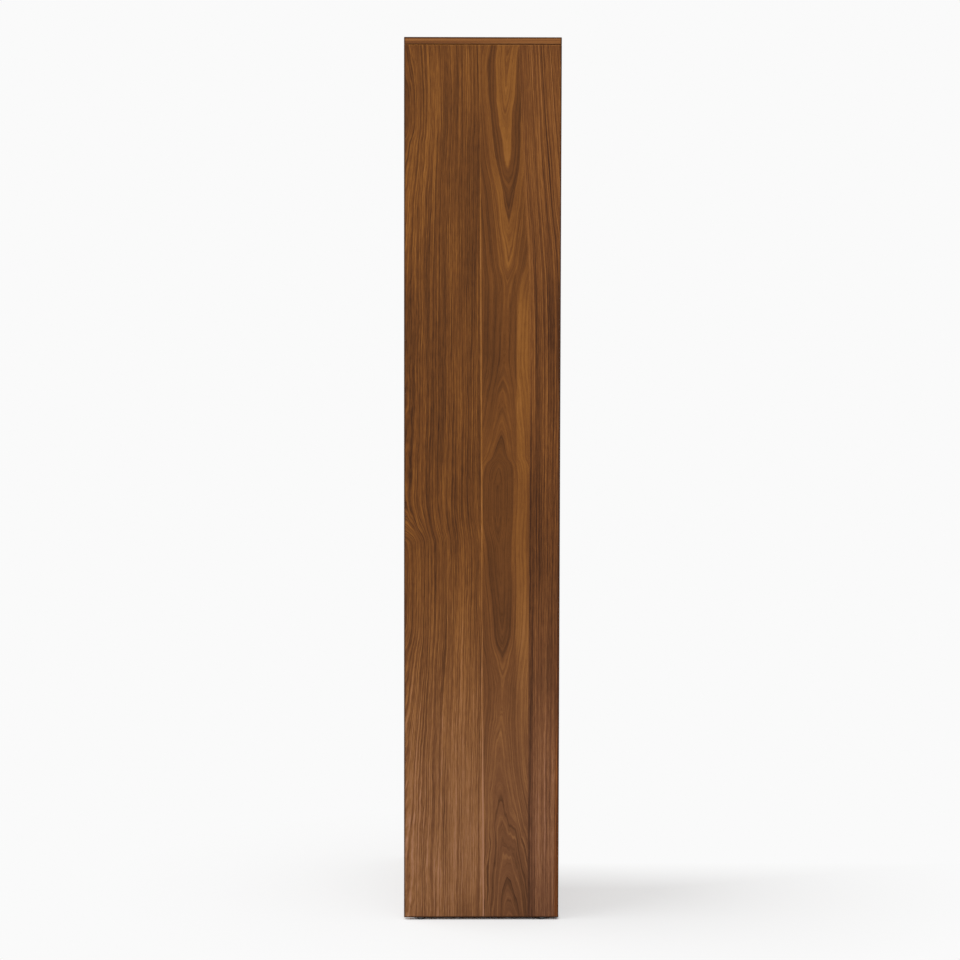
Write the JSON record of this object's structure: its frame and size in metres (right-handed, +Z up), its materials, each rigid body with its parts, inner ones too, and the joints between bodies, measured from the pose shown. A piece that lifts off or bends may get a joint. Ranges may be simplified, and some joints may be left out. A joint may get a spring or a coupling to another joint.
{
  "type": "bookcase with adjustable shelves",
  "caption": "Tall, narrow walnut bookcase with plain full-height sides, a top laid over them, fixed bottom and middle shelves, and loose shelves on pull-out pins.",
  "frame": {"origin": "on the floor, under the middle of the case", "axes": "+Z up, -Y out of the open front, +X to the right of someone facing the front"},
  "size_m": [0.762, 0.376, 2.134],
  "materials": {
    "walnut": "satin lacquer over walnut veneer, with straight and cathedral grain along the board",
    "walnut_back": "satin lacquer over plain walnut veneer, grain upright",
    "nickel": "nickel-plated steel, fine satin",
    "nylon": "black moulded nylon",
    "zinc_steel": "bright zinc-plated steel",
    "zinc_casting": "plain cast zinc",
    "cover_plastic": "brown moulded plastic",
    "beech": "bare fluted beech"
  },
  "bodies": {
    "case": {"side_left": "walnut", "side_right": "walnut", "top_panel": "walnut", "bottom_shelf": "walnut", "middle_shelf": "walnut", "kick_board_front": "walnut", "kick_board_rear": "walnut", "hanging_rail": "walnut", "back_panel": "walnut_back", "glide_front_left": "nylon", "glide_front_right": "nylon", "glide_back_left": "nylon", "glide_back_right": "nylon", "cam_bolts": "zinc_steel", "cam_locks": "zinc_casting", "cam_covers": "cover_plastic", "dowels": "beech", "back_screws": "zinc_steel", "glide_nails": "zinc_steel"},
    "adjustable_shelf_1": {"adjustable_shelf_1": "walnut"},
    "adjustable_shelf_2": {"adjustable_shelf_2": "walnut"},
    "adjustable_shelf_3": {"adjustable_shelf_3": "walnut"},
    "adjustable_shelf_4": {"adjustable_shelf_4": "walnut"},
    "shelf_1_pin_front_left": {"shelf_1_pin_front_left": "nickel"},
    "shelf_1_pin_front_right": {"shelf_1_pin_front_right": "nickel"},
    "shelf_1_pin_back_left": {"shelf_1_pin_back_left": "nickel"},
    "shelf_1_pin_back_right": {"shelf_1_pin_back_right": "nickel"},
    "shelf_2_pin_front_left": {"shelf_2_pin_front_left": "nickel"},
    "shelf_2_pin_front_right": {"shelf_2_pin_front_right": "nickel"},
    "shelf_2_pin_back_left": {"shelf_2_pin_back_left": "nickel"},
    "shelf_2_pin_back_right": {"shelf_2_pin_back_right": "nickel"},
    "shelf_3_pin_front_left": {"shelf_3_pin_front_left": "nickel"},
    "shelf_3_pin_front_right": {"shelf_3_pin_front_right": "nickel"},
    "shelf_3_pin_back_left": {"shelf_3_pin_back_left": "nickel"},
    "shelf_3_pin_back_right": {"shelf_3_pin_back_right": "nickel"},
    "shelf_4_pin_front_left": {"shelf_4_pin_front_left": "nickel"},
    "shelf_4_pin_front_right": {"shelf_4_pin_front_right": "nickel"},
    "shelf_4_pin_back_left": {"shelf_4_pin_back_left": "nickel"},
    "shelf_4_pin_back_right": {"shelf_4_pin_back_right": "nickel"}
  },
  "joints": [
    {"name": "adjustable_shelf_1_lift", "type": "slide", "parent": "case", "child": "adjustable_shelf_1", "axis": [0, 0, 1], "range_m": [0, 0.315]},
    {"name": "adjustable_shelf_2_lift", "type": "slide", "parent": "case", "child": "adjustable_shelf_2", "axis": [0, 0, 1], "range_m": [0, 0.32]},
    {"name": "adjustable_shelf_3_lift", "type": "slide", "parent": "case", "child": "adjustable_shelf_3", "axis": [0, 0, 1], "range_m": [0, 0.315]},
    {"name": "adjustable_shelf_4_lift", "type": "slide", "parent": "case", "child": "adjustable_shelf_4", "axis": [0, 0, 1], "range_m": [0, 0.24]},
    {"name": "shelf_1_pin_front_left_pull", "type": "slide", "parent": "case", "child": "shelf_1_pin_front_left", "axis": [1, 0, 0], "range_m": [0, 0.01]},
    {"name": "shelf_1_pin_front_right_pull", "type": "slide", "parent": "case", "child": "shelf_1_pin_front_right", "axis": [-1, 0, 0], "range_m": [0, 0.01]},
    {"name": "shelf_1_pin_back_left_pull", "type": "slide", "parent": "case", "child": "shelf_1_pin_back_left", "axis": [1, 0, 0], "range_m": [0, 0.01]},
    {"name": "shelf_1_pin_back_right_pull", "type": "slide", "parent": "case", "child": "shelf_1_pin_back_right", "axis": [-1, 0, 0], "range_m": [0, 0.01]},
    {"name": "shelf_2_pin_front_left_pull", "type": "slide", "parent": "case", "child": "shelf_2_pin_front_left", "axis": [1, 0, 0], "range_m": [0, 0.01]},
    {"name": "shelf_2_pin_front_right_pull", "type": "slide", "parent": "case", "child": "shelf_2_pin_front_right", "axis": [-1, 0, 0], "range_m": [0, 0.01]},
    {"name": "shelf_2_pin_back_left_pull", "type": "slide", "parent": "case", "child": "shelf_2_pin_back_left", "axis": [1, 0, 0], "range_m": [0, 0.01]},
    {"name": "shelf_2_pin_back_right_pull", "type": "slide", "parent": "case", "child": "shelf_2_pin_back_right", "axis": [-1, 0, 0], "range_m": [0, 0.01]},
    {"name": "shelf_3_pin_front_left_pull", "type": "slide", "parent": "case", "child": "shelf_3_pin_front_left", "axis": [1, 0, 0], "range_m": [0, 0.01]},
    {"name": "shelf_3_pin_front_right_pull", "type": "slide", "parent": "case", "child": "shelf_3_pin_front_right", "axis": [-1, 0, 0], "range_m": [0, 0.01]},
    {"name": "shelf_3_pin_back_left_pull", "type": "slide", "parent": "case", "child": "shelf_3_pin_back_left", "axis": [1, 0, 0], "range_m": [0, 0.01]},
    {"name": "shelf_3_pin_back_right_pull", "type": "slide", "parent": "case", "child": "shelf_3_pin_back_right", "axis": [-1, 0, 0], "range_m": [0, 0.01]},
    {"name": "shelf_4_pin_front_left_pull", "type": "slide", "parent": "case", "child": "shelf_4_pin_front_left", "axis": [1, 0, 0], "range_m": [0, 0.01]},
    {"name": "shelf_4_pin_front_right_pull", "type": "slide", "parent": "case", "child": "shelf_4_pin_front_right", "axis": [-1, 0, 0], "range_m": [0, 0.01]},
    {"name": "shelf_4_pin_back_left_pull", "type": "slide", "parent": "case", "child": "shelf_4_pin_back_left", "axis": [1, 0, 0], "range_m": [0, 0.01]},
    {"name": "shelf_4_pin_back_right_pull", "type": "slide", "parent": "case", "child": "shelf_4_pin_back_right", "axis": [-1, 0, 0], "range_m": [0, 0.01]}
  ]
}
